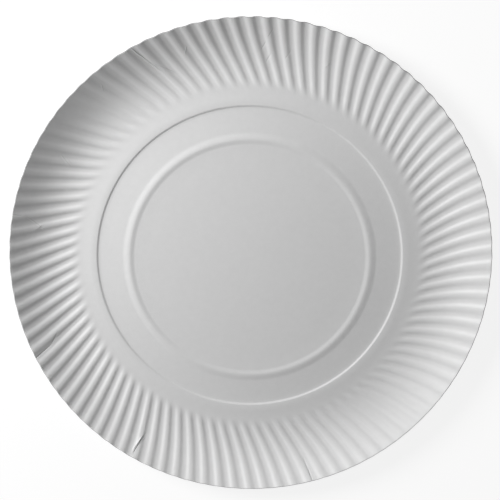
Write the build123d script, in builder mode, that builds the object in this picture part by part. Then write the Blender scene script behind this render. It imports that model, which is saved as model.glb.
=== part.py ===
from build123d import *

import os
from math import atan, cos, pi, radians, sin

# A moulded paper plate: one disc of coated board pressed to a shallow dish.
# The board has a flat middle, an embossed bead, a foot ring that it stands on, an embossed
# step and a curved rim pleated by swirled flutes. +Z is up, and the origin is in the middle
# of the plane that the foot ring rests on.

# Driving dimensions, in millimetres and degrees
outer_radius = 115.0        # mean radius of the rim's edge
board = 0.45                # thickness of the board
rim_start_radius = 83.0     # where the level board turns up into the rim
rim_rise = 11.2             # height of the rim's edge above that band

middle_height = 0.65        # underside of the flat middle above the foot ring
bead_inner_radius = 55.9    # the bead rises from the middle here
bead_crest_radius = 58.5
bead_outer_radius = 62.3    # the bead ends here, at the top of the sloping ring
bead_height = 0.40          # crest above the middle
bead_fall = 0.55            # crest above the top of the sloping ring

foot_inner_radius = 72.1    # the flat ring that the plate stands on
foot_width = 1.4
step_width = 1.3            # the step up, just outside the foot ring
step_height = 0.50
band_height = 0.18          # underside of the level band above the foot ring
band_width = 1.0            # from the end of the fall to the flutes

flute_count = 96
flute_lead = 1.0            # the flutes begin this far inside the rim's upward turn
flute_slope = 0.315         # steepness of a flute's sides, as rise over run
flute_flatness = 0.05       # share of the third harmonic, which flattens crests and troughs
flute_ramp = 6.5            # length over which the flutes reach their full depth
swirl_lean = 0.102          # degrees of turn per millimetre in from the edge
swirl_curl = 0.003275       # degrees of turn per square millimetre in from the edge

rim_stations = 12           # lofted sections from the band to the edge
points_per_flute = 8

# Dependent sizes
rim_width = outer_radius - rim_start_radius
flute_pitch = 360.0 / flute_count
flute_start_radius = rim_start_radius - flute_lead
foot_outer_radius = foot_inner_radius + foot_width
step_outer_radius = foot_outer_radius + step_width
crest_height = middle_height + bead_height
slope_height = crest_height - bead_fall


def floor_line(lift):
    """Draw the section from the middle to the level band, lifted above the underside."""
    middle = (0, middle_height + lift)
    bead_start = (bead_inner_radius, middle_height + lift)
    bead_crest = (bead_crest_radius, crest_height + lift)
    bead_end = (bead_outer_radius, slope_height + lift)
    foot_start = (foot_inner_radius, lift)
    foot_end = (foot_outer_radius, lift)
    step_top = (step_outer_radius, step_height + lift)
    band_start = (flute_start_radius - band_width, band_height + lift)
    band_end = (flute_start_radius, band_height + lift)
    level = (1, 0)
    Line(middle, bead_start)
    Spline(bead_start, bead_crest, tangents=[level, level])
    Spline(bead_crest, bead_end, tangents=[level, Vector(*foot_start) - Vector(*bead_end)])
    Line(bead_end, foot_start)
    Line(foot_start, foot_end)
    Spline(foot_end, step_top, tangents=[level, Vector(*band_start) - Vector(*step_top)])
    Line(step_top, band_start)
    Line(band_start, band_end)


def rim_height(share):
    """Height of the rim's underside above the band, at a share of its width."""
    return rim_rise * (0.56 * share**2 + share**3 - 0.56 * share**4)


def rim_lean(share):
    """Angle of the rim from level there: the slope of rim_height over the rim's width."""
    return atan(rim_rise / rim_width * (1.12 * share + 3 * share**2 - 2.24 * share**3))


def flute_depth(radius):
    """Half the flutes' height: a constant side slope, faded in smoothly from the band."""
    fade = min(1.0, (radius - flute_start_radius) / flute_ramp)
    return flute_slope * radius / flute_count * fade**2 * (3 - 2 * fade)


def rim_point(radius, flute_share, lift):
    """A point of the rim, on a swirled flute from crest (0) through trough to crest (1)."""
    share = max(0.0, (radius - rim_start_radius) / rim_width)
    inset = outer_radius - radius
    lean = rim_lean(share)
    turn = 2 * pi * flute_share
    wave = cos(turn) - flute_flatness * cos(3 * turn)
    rise = flute_depth(radius) * wave + lift
    swirl = swirl_lean * inset + swirl_curl * inset**2
    azimuth = radians(flute_pitch * flute_share - swirl)
    reach = radius - rise * sin(lean)
    height = band_height + rim_height(share) + rise * cos(lean)
    return Vector(reach * cos(azimuth), reach * sin(azimuth), height)


def rim_section(radius, lift):
    """One flute's section across its length, square to the radius at both crests."""
    steps = [i / points_per_flute for i in range(points_per_flute + 1)]
    points = [rim_point(radius, step, lift) for step in steps]
    pitch = radians(flute_pitch)
    along = [Vector(-end.Y, end.X, 0) * pitch for end in (points[0], points[-1])]
    return Edge.make_spline(points, along, parameters=steps, scale=False)


def rim_skin(lift):
    """One flute's face, lofted outwards through its sections."""
    spacing = (outer_radius - flute_start_radius) / rim_stations
    stations = [flute_start_radius + i * spacing for i in range(rim_stations + 1)]
    return Shell.make_loft([Wire(rim_section(station, lift)) for station in stations]).face()


# The floor: everything inside the flutes, turned from one section
with BuildPart() as floor:
    with BuildSketch(Plane.XZ):
        with BuildLine():
            floor_line(0)
            floor_line(board)
            Line((0, middle_height), (0, middle_height + board))
            Line((flute_start_radius, band_height), (flute_start_radius, band_height + board))
        make_face()
    revolve(axis=Axis.Z)
floor_faces = floor.faces() - floor.faces().filter_by(GeomType.CYLINDER)

# The rim: one flute's two faces and its cut edge, repeated round the plate
cut_edge = Face.make_surface_from_curves(
    rim_section(outer_radius, 0), rim_section(outer_radius, board)
)
flute = [rim_skin(0), rim_skin(board), cut_edge]
rim_faces = [spot * face for spot in PolarLocations(0, flute_count) for face in flute]

with BuildPart() as plate:
    add(Solid(Shell(floor_faces + rim_faces)))

plate.part.label = "plate"
os.makedirs("parts", exist_ok=True)
export_step(plate.part, "parts/plate.step")
print(f"volume {plate.part.volume / 1000:.2f} cm3, valid {plate.part.is_valid}")
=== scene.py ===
import math

import bpy
import numpy as np
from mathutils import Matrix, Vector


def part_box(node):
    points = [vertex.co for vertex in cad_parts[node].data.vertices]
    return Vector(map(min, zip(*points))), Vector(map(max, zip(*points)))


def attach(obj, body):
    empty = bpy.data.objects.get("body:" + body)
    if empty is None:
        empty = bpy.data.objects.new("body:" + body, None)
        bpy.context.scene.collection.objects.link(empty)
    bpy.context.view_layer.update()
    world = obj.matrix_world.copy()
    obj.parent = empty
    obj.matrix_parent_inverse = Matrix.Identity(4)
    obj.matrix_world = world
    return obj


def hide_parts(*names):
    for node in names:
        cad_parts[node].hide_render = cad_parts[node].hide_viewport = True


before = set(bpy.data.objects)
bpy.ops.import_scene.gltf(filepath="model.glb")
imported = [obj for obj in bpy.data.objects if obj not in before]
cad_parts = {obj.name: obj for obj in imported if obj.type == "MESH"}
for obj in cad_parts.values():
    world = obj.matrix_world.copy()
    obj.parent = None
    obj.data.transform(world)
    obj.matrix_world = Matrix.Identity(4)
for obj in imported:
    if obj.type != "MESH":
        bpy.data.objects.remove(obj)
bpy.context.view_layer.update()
mm = 0.001
print("frame loaded")


# an output in a shader: arithmetic on it adds Math nodes
class Signal:
    def __init__(self, graph, socket):
        self.graph = graph
        self.socket = socket

    def __add__(self, other):
        return self.graph.maths("ADD", self, other)

    def __radd__(self, other):
        return self.graph.maths("ADD", other, self)

    def __sub__(self, other):
        return self.graph.maths("SUBTRACT", self, other)

    def __rsub__(self, other):
        return self.graph.maths("SUBTRACT", other, self)

    def __mul__(self, other):
        return self.graph.maths("MULTIPLY", self, other)

    def __rmul__(self, other):
        return self.graph.maths("MULTIPLY", other, self)

    def __abs__(self):
        return self.graph.maths("ABSOLUTE", self, 0.0)


# the emptied node tree of a material or world
class Graph:
    def __init__(self, owner):
        owner.use_nodes = True
        self.tree = owner.node_tree
        self.tree.nodes.clear()

    # adds a node: its settings first, then a value or link for each socket, by name or number
    def node(self, kind, settings, sockets, output=0):
        made = self.tree.nodes.new(kind)
        for name, value in settings.items():
            setattr(made, name, value)
        for key, value in sockets.items():
            if isinstance(value, Signal):
                self.tree.links.new(value.socket, made.inputs[key])
            else:
                made.inputs[key].default_value = value
        return Signal(self, made.outputs[output]) if len(made.outputs) else made

    # one Math node of two values
    def maths(self, operation, a, b):
        return self.node("ShaderNodeMath", {"operation": operation}, {0: a, 1: b})

    # 0 below low, 1 above high, smooth between
    def smooth(self, value, low, high):
        settings = {"interpolation_type": "SMOOTHSTEP"}
        return self.node("ShaderNodeMapRange", settings, {0: value, 1: low, 2: high})

    def noise(self, place, scale, detail, roughness):
        sockets = {"Vector": place, "Scale": scale, "Detail": detail, "Roughness": roughness}
        return self.node("ShaderNodeTexNoise", {}, sockets, "Fac")

    # any of Is Camera Ray, Is Glossy Ray and Is Transmission Ray
    def seenRays(self):
        rays = 0.0
        for kind in ("Is Camera Ray", "Is Glossy Ray", "Is Transmission Ray"):
            rays = self.maths("MAXIMUM", rays, self.node("ShaderNodeLightPath", {}, {}, kind))
        return rays


# the plate's surface

plate = {  # sizes in millimetres, angles in degrees; the outer size comes from the frame
    "troughReach": 0.142,      # how far the flutes' troughs reach past the mean edge
    "board": 0.45,
    "rimStart": 83.0,
    "rimRise": 11.2,
    "rimBend": 0.56,           # how early the rim turns up
    "middleHeight": 0.65,
    "bead": (55.9, 58.5, 62.3),        # radii of its start, crest and end
    "beadHeight": 0.40,
    "beadFall": 0.55,
    "foot": (72.1, 73.5),
    "stepWidth": 1.3,
    "stepHeight": 0.50,
    "bandHeight": 0.18,
    "bandWidth": 1.0,
    "flutes": 96,
    "fluteStart": 82.0,
    "fluteSlope": 0.315,
    "fluteSharpness": 0.05,    # second harmonic: crests narrower than troughs
    "fluteFlatness": 0.085,    # third harmonic: straighter walls
    "fluteRamp": 6.5,
    "swirlLean": 0.102,
    "swirlCurl": 0.003275,
}

wear = {  # what pressing, trimming and handling left uneven
    "seed": 7,
    "offCentre": (0.62, 14.0),         # the trimmed edge's shift and its azimuth
    "threeLobes": (0.2, 38.6),         # its slight triangularity: height and azimuth
    "driftPower": 3,                   # both grow with this power of the rim's share
    "edgeWaver": 0.16,                 # small irregularity of the trimmed edge
    "waverOrders": (60, 220),          # its waves round the plate, fewest and most
    "waverPower": 20,                  # it grows with this power of the rim's share
    "edgeDepth": 0.75,                 # the flutes' mean depth at the edge, as a share
    "twoLobes": (0.25, 62.0),          # how that share varies twice and once round the plate,
    "oneLobe": (0.15, 80.0),           # each with the azimuth where it is greatest
    "edgeDepthStart": 0.25,            # where on the rim, as a share, this change begins
    "unevenDepth": 0.05,               # random part of the flutes' depth, as a share
    "depthOrders": (20, 60),
    "unevenTurn": 0.12,                # wander of the flutes, in radians of their wave
    "turnOrders": (10, 60),
    "wave": 0.03,                      # slow waviness of the flat middle
    "waveLengths": (17.0, 23.0),       # along X and Y, over 2 pi
    "waveStarts": (0.6, -0.4),
    "waveRadius": 40.0,                # it fades out from here to the bead
}

# pleats and creases on the rim: both ends as (radius, azimuth), the height of the fold and the
# height of the board's step from one side of it to the other
creases = [
    ((115.5, 118.5), (99, 114.5), 0.16, 0.05),     # a long fold at the upper left
    ((107, 117), (96, 111), 0.09, 0.00),           # and its branch
    ((113, 239), (102, 239.5), -0.12, 0.42),       # the deep pleat at the lower left
    ((111.5, 238.5), (104, 239), 0.16, 0.00),      # and the ridge beside it
    ((115.5, 204.5), (105, 203), -0.14, 0.12),     # a bent crease lower on the left
    ((105.5, 203), (100.5, 200.5), -0.08, 0.05),
    ((109, 168), (99.5, 171.5), -0.10, 0.06),      # a crossed pair at the left
    ((104, 171.5), (101, 169.5), 0.07, 0.00),
    ((115.5, 168), (110.5, 168), -0.12, 0.00),     # the nick in the edge above them
    ((115.5, 286), (109, 285.5), -0.10, 0.05),     # a bent crease at the bottom
    ((109.5, 285.5), (104.5, 285), -0.07, 0.03),
]

creaseShape = {  # what all the creases share
    "width": 0.45,
    "startFade": 0.2,          # share of its length over which one comes in, at its start
    "endFade": 0.3,            # and over which it dies away, at its end
    "stepSteepness": 1.6,      # how steeply the board steps, per width
    "stepReach": 3.5,          # how far off the line the step dies away, in widths
    "deep": 0.15,              # fold and step together, from which one gets extra columns
}

scatter = {  # small marks of handling, strewn at random over the stretches of rim that have them
    "seed": 11,
    "dents": 8,
    "dentRadii": (84, 103),
    "dentAzimuths": (220, 248),
    "dentWidth": 0.85,
    "dentHeights": (0.05, 0.09),
    "scratches": 9,
    "scratchRadii": (98, 112),
    "scratchAzimuths": (65, 160),
    "scratchLength": 4.0,
    "scratchHeight": 0.5,      # as a share of a hairline's, up and down by turns
    "scratchTurn": 1.2,        # degrees that a scratch drifts over its length
}


# random places within two ranges, as (radius, azimuth)
def strewn(count, radii, azimuths, source):
    return list(zip(source.uniform(*radii, count), source.uniform(*azimuths, count)))


scatterSource = np.random.default_rng(scatter["seed"])
dentPlaces = strewn(scatter["dents"], scatter["dentRadii"], scatter["dentAzimuths"], scatterSource)
dents = list(zip(dentPlaces, scatterSource.uniform(*scatter["dentHeights"], scatter["dents"])))
scratchPlaces = strewn(
    scatter["scratches"], scatter["scratchRadii"], scatter["scratchAzimuths"], scatterSource)

mesh = {  # how finely the surface is divided
    "columnsPerFlute": 12,
    "creaseColumns": 11,       # extra columns across each deep crease
    "creaseSpacing": 0.11,     # degrees between them
    "leastGap": 0.01,          # columns closer than this, in flutes, become one
    "floorShare": 3,           # one column of the floor for so many of the rim
    "rimRows": 34,
    "underRimRows": 14,
    "beadRows": 7,
    "underBeadRows": 5,
    "flatRows": 2,
    "poleRadius": 14,          # the innermost row, inside which a fan closes the floor
    "middleRadius": 42,        # a row halfway over the flat middle
    "edgeRadius": 0.09,        # the trimmed edge is very slightly rounded
}

lowCorner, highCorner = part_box("plate")
edge = (highCorner[0] - lowCorner[0]) / 2 / mm - plate["troughReach"]
rimWidth = edge - plate["rimStart"]


# a smooth step: 3t^2 - 2t^3, level before 0 and after 1
def ease(t):
    t = np.clip(t, 0, 1)
    return t * t * (3 - 2 * t)


# a straight ramp from 0 to 1 between two radii
def ramp(r, start, end):
    return np.clip((r - start) / (end - start), 0, 1)


# underside height inside the rim: eased steps at the bead and step, straight falls after each
def floorHeight(r):
    beadStart, beadCrest, beadEnd = plate["bead"]
    footStart, footEnd = plate["foot"]
    stepEnd = footEnd + plate["stepWidth"]
    bandStart = plate["fluteStart"] - plate["bandWidth"]
    slopeTop = plate["middleHeight"] + plate["beadHeight"] - plate["beadFall"]
    bandFall = plate["stepHeight"] - plate["bandHeight"]
    height = plate["middleHeight"] + plate["beadHeight"] * ease(ramp(r, beadStart, beadCrest))
    height = height - plate["beadFall"] * ease(ramp(r, beadCrest, beadEnd))
    height = height - slopeTop * ramp(r, beadEnd, footStart)
    height = height + plate["stepHeight"] * ease(ramp(r, footEnd, stepEnd))
    return height - bandFall * ramp(r, stepEnd, bandStart)


# rim height above the band, in the share t of the rim's width: rise * (b t^2 + t^3 - b t^4)
def rimHeight(share):
    bend = plate["rimBend"]
    return plate["rimRise"] * (bend * share**2 + share**3 - bend * share**4)


# the rim's angle from level: arctangent of that quartic's slope
def rimLean(share):
    bend = plate["rimBend"]
    slope = 2 * bend * share + 3 * share**2 - 4 * bend * share**3
    return np.arctan(plate["rimRise"] / rimWidth * slope)


# degrees that the flutes turn back by, at a distance in from the edge: linear plus squared
def swirlTurn(r):
    inset = np.clip(edge - r, 0, edge - plate["fluteStart"])
    return plate["swirlLean"] * inset + plate["swirlCurl"] * inset**2


# a cosine with some lobes round the plate, from its height and the azimuth of its top
def lobe(azimuth, count, shape):
    return shape[0] * np.cos(count * (azimuth - math.radians(shape[1])))


# a closed random line round the plate: cosines of whole orders, falling as 1 / sqrt(order)
def roundNoise(azimuth, lowest, highest, source):
    total = np.zeros_like(azimuth)
    for order in range(lowest, highest + 1):
        phase = source.uniform(0, 2 * np.pi)
        total += source.normal() * np.cos(order * azimuth + phase) / order**0.5
    return total / (highest - lowest + 1) ** 0.5


# an (x, y) point, in millimetres, from a radius and an azimuth
def flatPoint(polar):
    radius, azimuth = polar
    return radius * np.array([math.cos(math.radians(azimuth)), math.sin(math.radians(azimuth))])


# height that creases add: a bell across the line, and half a step, as a hyperbolic tangent, up on
# one side and down on the other, that dies away from the line as a bell
def creaseHeight(x, y):
    total = np.zeros_like(x)
    for start, end, fold, step in creases:
        a, b = flatPoint(start), flatPoint(end)
        length = np.linalg.norm(b - a)
        ahead = (b - a) / length
        along = ((x - a[0]) * ahead[0] + (y - a[1]) * ahead[1]) / length
        across = ((y - a[1]) * ahead[0] - (x - a[0]) * ahead[1]) / creaseShape["width"]
        fade = ease(along / creaseShape["startFade"] + 0.5)
        fade = fade * ease((1 - along) / creaseShape["endFade"])
        stepShape = np.tanh(across * creaseShape["stepSteepness"])
        stepShape = stepShape * np.exp(-(across / creaseShape["stepReach"]) ** 2)
        total += fade * (fold * np.exp(-across**2) + step * stepShape / 2)
    return total


# height that dents add: a round bell each
def dentHeight(x, y):
    total = np.zeros_like(x)
    for place, height in dents:
        a = flatPoint(place)
        total += height * np.exp(-((x - a[0]) ** 2 + (y - a[1]) ** 2) / scatter["dentWidth"] ** 2)
    return total


# slow waves of the flat middle: a sine along X times a cosine along Y
def middleWaves(x, y):
    lengths, starts = wear["waveLengths"], wear["waveStarts"]
    return wear["wave"] * np.sin(x / lengths[0] + starts[0]) * np.cos(y / lengths[1] + starts[1])


# points of one side: radius and column phase (in flutes) give a cosine flute, raised along
# the rim's normal; the trimmed edge's drift grows with a power of the rim's share
def platePoints(r, phase, lift):
    source = np.random.default_rng(wear["seed"])
    turn = 2 * np.pi * phase
    azimuth = turn / plate["flutes"] - np.radians(swirlTurn(r))
    share = ramp(r, plate["rimStart"], edge)
    lean = rimLean(share)
    depthNoise = wear["unevenDepth"] * roundNoise(azimuth, *wear["depthOrders"], source)
    turnNoise = wear["unevenTurn"] * roundNoise(azimuth, *wear["turnOrders"], source)
    edgeNoise = wear["edgeWaver"] * roundNoise(turn / plate["flutes"], *wear["waverOrders"], source)
    turn = turn + turnNoise
    wave = np.cos(turn) + plate["fluteSharpness"] * np.cos(2 * turn)
    wave = wave - plate["fluteFlatness"] * np.cos(3 * turn)
    outer = ease(ramp(share, wear["edgeDepthStart"], 1.0))
    depth = plate["fluteSlope"] * r / plate["flutes"] * (1 + depthNoise)
    depth = depth * ease((r - plate["fluteStart"]) / plate["fluteRamp"])
    edgeDepth = wear["edgeDepth"] + lobe(azimuth, 2, wear["twoLobes"])
    edgeDepth = edgeDepth + lobe(azimuth, 1, wear["oneLobe"])
    depth = depth * (1 - outer * (1 - edgeDepth))
    rise = depth * wave + lift
    drift = lobe(azimuth, 1, wear["offCentre"]) + lobe(azimuth, 3, wear["threeLobes"])
    drift = drift * share ** wear["driftPower"] + edgeNoise * share ** wear["waverPower"]
    reach = r + drift - rise * np.sin(lean)
    x, y = reach * np.cos(azimuth), reach * np.sin(azimuth)
    waves = middleWaves(x, y) * (1 - ramp(r, wear["waveRadius"], plate["bead"][0]))
    height = floorHeight(r) + rimHeight(share) + rise * np.cos(lean)
    return np.stack([x, y, height + waves + creaseHeight(x, y) + dentHeight(x, y)], axis=-1)


# radii that divide each span, given as (start, end, number of rows)
def divide(spans):
    return np.unique(np.concatenate([np.linspace(a, b, count + 1) for a, b, count in spans]).round(4))


# radii of the floor's rows: close where the section bends, wide apart where it is flat
def floorRadii(beadRows):
    beadStart, beadCrest, beadEnd = plate["bead"]
    footStart, footEnd = plate["foot"]
    stepEnd = footEnd + plate["stepWidth"]
    bandStart = plate["fluteStart"] - plate["bandWidth"]
    pole, middle, flatRows = mesh["poleRadius"], mesh["middleRadius"], mesh["flatRows"]
    return divide([
        (pole, middle, flatRows),
        (middle, beadStart, flatRows),
        (beadStart, beadCrest, beadRows),
        (beadCrest, beadEnd, beadRows),
        (beadEnd, footStart, flatRows),
        (footStart, footEnd, 1),
        (footEnd, stepEnd, beadRows - 1),
        (stepEnd, bandStart, flatRows),
    ])


# radii of the rim's rows, the last two at three and one of the edge's radius from the edge
def rimRadii(rimRows):
    rounding = mesh["edgeRadius"]
    return divide([(plate["fluteStart"], edge - 3 * rounding, rimRows),
                   (edge - 3 * rounding, edge - rounding, 1)])


# column phases, in flutes: an even spread, and extra columns where creases meet the rim
def columnPhases():
    even = np.arange(plate["flutes"] * mesh["columnsPerFlute"]) / mesh["columnsPerFlute"]
    offsets = np.arange(mesh["creaseColumns"]) - (mesh["creaseColumns"] - 1) / 2
    extra = []
    for start, end, fold, step in creases:
        if abs(fold) + abs(step) < creaseShape["deep"]:
            continue
        middle = (start[0] + end[0]) / 2
        azimuth = (start[1] + end[1]) / 2 + swirlTurn(middle)
        extra.append((azimuth + offsets * mesh["creaseSpacing"]) / 360 * plate["flutes"])
    phases = np.sort(np.concatenate([even] + extra) % plate["flutes"])
    phases = phases[np.append(True, np.diff(phases) > mesh["leastGap"])]
    return phases[:len(phases) // mesh["floorShare"] * mesh["floorShare"]]


# four-cornered faces between neighbouring rows of points, given as a grid of point numbers
def strip(numbers):
    beside = np.roll(numbers, -1, axis=1)
    corners = [numbers[:-1], numbers[1:], beside[1:], beside[:-1]]
    return np.stack(corners, axis=-1).reshape(-1, 4)


# faces between a row of floor points and a row of the rim's, several rim points to a face
def joinRows(floorRow, rimRow):
    share = mesh["floorShare"]
    spans = np.stack([np.roll(rimRow, -i)[::share] for i in range(share + 1)], axis=-1)
    return np.column_stack([floorRow, spans, np.roll(floorRow, -1)])


# triangles from one point to each pair of neighbours in a row
def fan(middle, row):
    return np.stack([np.full(len(row), middle), row, np.roll(row, -1)], axis=-1)


# a closed skin: out over the top, round the trimmed edge and back under the board; the floor
# has fewer columns than the rim, and a fan of triangles closes each middle
def pressedPlateMesh():
    phase = columnPhases()[None, :]
    coarse = phase[:, ::mesh["floorShare"]]
    board, rounding = plate["board"], mesh["edgeRadius"]
    rim = np.array([[edge]])
    topRim = rimRadii(mesh["rimRows"])[:, None]
    underRim = rimRadii(mesh["underRimRows"])[::-1, None]
    rimPoints = np.concatenate([
        platePoints(topRim, phase, board), platePoints(rim, phase, board - rounding),
        platePoints(rim, phase, rounding), platePoints(underRim, phase, 0.0)])
    topFloor = platePoints(floorRadii(mesh["beadRows"])[:, None], coarse, board)
    underFloor = platePoints(floorRadii(mesh["underBeadRows"])[:, None], coarse, 0.0)
    underMiddle = plate["middleHeight"] + float(middleWaves(0, 0))
    middles = [[0, 0, underMiddle + board], [0, 0, underMiddle]]
    parts = [part.reshape(-1, 3) for part in (rimPoints, topFloor, underFloor)] + [middles]
    points = np.concatenate(parts) * mm

    # the number of each point, in the shape of its grid, and of the point at each middle
    firsts = np.cumsum([0] + [len(part) for part in parts])
    rimGrid, topGrid, underGrid = [
        first + np.arange(grid.shape[0] * grid.shape[1]).reshape(grid.shape[:2])
        for first, grid in zip(firsts, (rimPoints, topFloor, underFloor))]
    topMiddle, bottomMiddle = firsts[3], firsts[3] + 1
    topRows = len(topRim)
    underStart = topRows + 2       # the trimmed edge has two rows of points of its own
    faces = [  # each with its finish: 0 the coated top, 1 the trimmed edge, 2 the plain underside
        (strip(rimGrid[:topRows]), 0),
        (strip(topGrid), 0),
        (joinRows(topGrid[-1], rimGrid[0]), 0),
        (fan(topMiddle, topGrid[0]), 0),
        (strip(rimGrid[topRows - 1:underStart + 1]), 1),
        (strip(rimGrid[underStart:]), 2),
        (strip(underGrid)[:, ::-1], 2),
        (joinRows(underGrid[-1], rimGrid[-1])[:, ::-1], 2),
        (fan(bottomMiddle, underGrid[0])[:, ::-1], 2),
    ]
    made = bpy.data.meshes.new("pressedPlate")
    corners = [face for group, finish in faces for face in group.tolist()]
    made.from_pydata(points.tolist(), [], corners)
    made.update()
    slots = np.concatenate([np.full(len(group), finish) for group, finish in faces])
    made.polygons.foreach_set("material_index", slots.astype(np.int32))
    made.polygons.foreach_set("use_smooth", np.ones(len(made.polygons), dtype=bool))
    triangles = sum(len(group) * (group.shape[1] - 2) for group, finish in faces)
    print("plate", len(points), "points", triangles, "triangles")
    return made


pressedPlate = bpy.data.objects.new("pressedPlate", pressedPlateMesh())
bpy.context.scene.collection.objects.link(pressedPlate)
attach(pressedPlate, "root")
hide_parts("plate")

# the board's finish

coating = {
    "white": 0.86,
    "roughness": 0.40,
    "specular": 0.5,
    "grainScale": 2300.0,      # paper fibres, per metre
    "grainDetail": (4.0, 0.6),         # the noise's detail and roughness
    "grainHeight": 0.042,      # in millimetres
    "lineHeight": 0.19,
    "lineWidth": 0.40,         # half the width of a hairline
    "lineFade": (0.3, 0.5),    # where it fades, as shares of its length from its middle
    "fullFold": 0.14,          # a fold this high gets a hairline of full height
    "leastLine": 0.4,          # and the lowest gets this share of it
    "formationScale": 350.0,   # cloudy density of the sheet, per metre
    "formationDetail": (5.0, 0.55),
    "formationShade": 0.06,
    "underShade": 0.96,        # the uncoated underside is a little duller
    "underRoughness": 0.75,
    "cutShade": 0.38,          # the trimmed edge is much darker and duller, a thin dark line all round
    "cutRoughness": 0.9,
}


# hairlines in the coating, each with both ends and its height as a share of lineHeight: one
# along each crease, as strong as its fold, and the scattered scratches
def hairlines():
    lines = []
    for start, end, fold, step in creases:
        height = np.clip(abs(fold) / coating["fullFold"], coating["leastLine"], 1.0)
        lines.append((start, end, float(np.sign(fold) * height)))
    for number, (radius, azimuth) in enumerate(scratchPlaces):
        end = (radius - scatter["scratchLength"], azimuth + scatter["scratchTurn"])
        height = scatter["scratchHeight"] if number % 2 else -scatter["scratchHeight"]
        lines.append(((radius, azimuth), end, height))
    return lines


# 1 on a hairline, falling to 0 at its half width and towards its ends
def lineMask(graph, x, y, start, end):
    a, b = flatPoint(start) * mm, flatPoint(end) * mm
    length = np.linalg.norm(b - a)
    ahead = (b - a) / length
    middle = (a + b) / 2
    across = x * -ahead[1] + y * ahead[0] + float(middle[0] * ahead[1] - middle[1] * ahead[0])
    along = x * ahead[0] + y * ahead[1] - float(middle @ ahead)
    line = 1 - graph.smooth(abs(across), 0.0, coating["lineWidth"] * mm)
    fadeStart, fadeEnd = coating["lineFade"]
    return line * (1 - graph.smooth(abs(along), length * fadeStart, length * fadeEnd))


# the finish of one part of the board: fine grain and hairlines in the bump, and a cloudy shade
def boardFinish(name, white, roughness, lines):
    material = bpy.data.materials.new(name)
    graph = Graph(material)
    place = graph.node("ShaderNodeTexCoord", {}, {}, "Object")
    grain = graph.noise(place, coating["grainScale"], *coating["grainDetail"])
    formation = graph.noise(place, coating["formationScale"], *coating["formationDetail"])
    x = graph.node("ShaderNodeSeparateXYZ", {}, {0: place}, "X")
    y = graph.node("ShaderNodeSeparateXYZ", {}, {0: place}, "Y")
    relief = grain * coating["grainHeight"]
    for start, end, height in lines:
        relief = lineMask(graph, x, y, start, end) * (height * coating["lineHeight"]) + relief
    bump = {"Strength": 1.0, "Distance": mm, "Height": relief}
    shade = formation * coating["formationShade"] + (1 - coating["formationShade"] / 2)
    tint = graph.node("ShaderNodeCombineColor", {}, {0: shade, 1: shade, 2: shade})
    colours = {0: 1.0, 6: (white, white, white, 1), 7: tint}       # its factor and two colours
    base = graph.node("ShaderNodeMix", {"data_type": "RGBA", "blend_type": "MULTIPLY"}, colours, 2)
    board = graph.node("ShaderNodeBsdfPrincipled", {}, {
        "Base Color": base,
        "Roughness": roughness,
        "Specular IOR Level": coating["specular"],
        "Normal": graph.node("ShaderNodeBump", {}, bump)})
    graph.node("ShaderNodeOutputMaterial", {}, {"Surface": board})
    return material


finishes = [
    ("coatedBoard", coating["white"], coating["roughness"], hairlines()),
    ("cutBoard", coating["white"] * coating["cutShade"], coating["cutRoughness"], []),
    ("plainBoard", coating["white"] * coating["underShade"], coating["underRoughness"], []),
]
for name, white, roughness, lines in finishes:
    pressedPlate.data.materials.append(boardFinish(name, white, roughness, lines))
print("board finished")

# the studio

studio = {  # metres, degrees and watts
    "floorSize": 6.0,
    "floorWhite": 0.8,
    "floorShare": 0.25,        # how much of the lit floor is seen; the rest is plain white
    "floorGlow": 1.15,
    "keyAzimuth": 150.0,
    "keyHeight": 33.0,
    "keyDistance": 0.67,
    "keySize": 0.3,
    "keyPower": 4.4,
    "fill": 0.092,             # strength of the surroundings as a light
    "backdrop": 0.88,          # and as they are seen, level with the far floor
}


# unit vector at an azimuth and a height over the horizon
def direction(azimuth, height):
    azimuth, height = math.radians(azimuth), math.radians(height)
    level = math.cos(height)
    return np.array([level * math.cos(azimuth), level * math.sin(azimuth), math.sin(height)])


# a matrix that stands at a place, looks along a direction and keeps upHint upwards
def stand(place, forward, upHint):
    forward = forward / np.linalg.norm(forward)
    right = np.cross(forward, upHint)
    right /= np.linalg.norm(right)
    matrix = np.identity(4)
    matrix[:3, :4] = np.stack([right, np.cross(right, forward), -forward, place], axis=1)
    return matrix.T.tolist()


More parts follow.
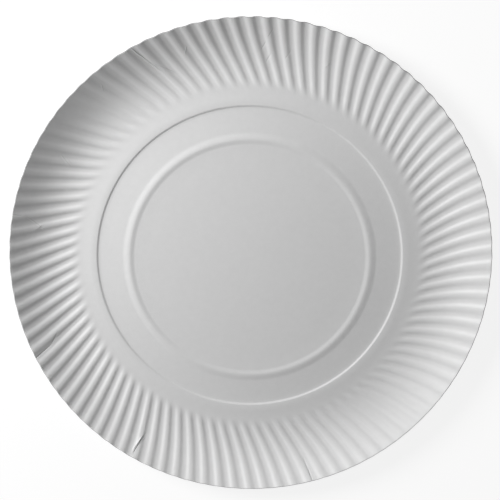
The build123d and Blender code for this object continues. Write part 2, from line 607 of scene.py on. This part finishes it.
# the floor: mostly an even glow as it is seen, so that only a faint shadow of the plate shows
def paleFloor():
    size = studio["floorSize"] / 2
    corners = [(-size, -size, 0), (size, -size, 0), (size, size, 0), (-size, size, 0)]
    sheet = bpy.data.meshes.new("floor")
    sheet.from_pydata(corners, [], [(0, 1, 2, 3)])
    floor = bpy.data.objects.new("floor", sheet)
    bpy.context.scene.collection.objects.link(floor)
    material = bpy.data.materials.new("paleFloor")
    graph = Graph(material)
    white = (studio["floorWhite"],) * 3 + (1,)
    matte = graph.node("ShaderNodeBsdfDiffuse", {}, {"Color": white})
    glow = graph.node("ShaderNodeEmission", {}, {"Color": (1, 1, 1, 1), "Strength": studio["floorGlow"]})
    share = graph.seenRays() * (1 - studio["floorShare"])
    both = graph.node("ShaderNodeMixShader", {}, {0: share, 1: matte, 2: glow})
    graph.node("ShaderNodeOutputMaterial", {}, {"Surface": both})
    sheet.materials.append(material)


# one round lamp that faces the middle of the plate
def keyLight():
    lamp = bpy.data.lights.new("keyLight", "AREA")
    lamp.shape = "DISK"
    lamp.size = studio["keySize"]
    lamp.energy = studio["keyPower"]
    light = bpy.data.objects.new("keyLight", lamp)
    place = direction(studio["keyAzimuth"], studio["keyHeight"]) * studio["keyDistance"]
    light.matrix_world = stand(place, -place, np.array([0, 0, 1.0]))
    bpy.context.scene.collection.objects.link(light)


# the surroundings: a weak even fill, seen as plain near-white
def surroundings():
    world = bpy.data.worlds.new("studioWorld")
    graph = Graph(world)
    strength = graph.seenRays() * (studio["backdrop"] - studio["fill"]) + studio["fill"]
    light = graph.node("ShaderNodeBackground", {}, {"Color": (1, 1, 1, 1), "Strength": strength})
    graph.node("ShaderNodeOutputWorld", {}, {"Surface": light})
    bpy.context.scene.world = world


view = {
    "tilt": 11.93,             # degrees off straight down
    "azimuth": 88.6,
    "distance": 0.4872,
    "aimHeight": 0.0009,
    "lens": 71.97,
    "shift": (0.0009, 0.0195),
    "sensor": 36,              # its width in millimetres
    "nearest": 0.01,           # nothing closer is seen
}


# the camera, aimed just above the middle of the plate
def mainCamera():
    camera = bpy.data.cameras.new("mainCamera")
    camera.lens = view["lens"]
    camera.sensor_width = view["sensor"]
    camera.shift_x, camera.shift_y = view["shift"]
    camera.clip_start = view["nearest"]
    eye = bpy.data.objects.new("mainCamera", camera)
    offset = direction(view["azimuth"], 90 - view["tilt"]) * view["distance"]
    aim = np.array([0, 0, view["aimHeight"]])
    eye.matrix_world = stand(aim + offset, -offset, direction(90, 0))
    bpy.context.scene.collection.objects.link(eye)
    bpy.context.scene.camera = eye


paleFloor()
keyLight()
surroundings()
mainCamera()
bpy.context.scene.view_settings.view_transform = "Standard"
print("studio ready")
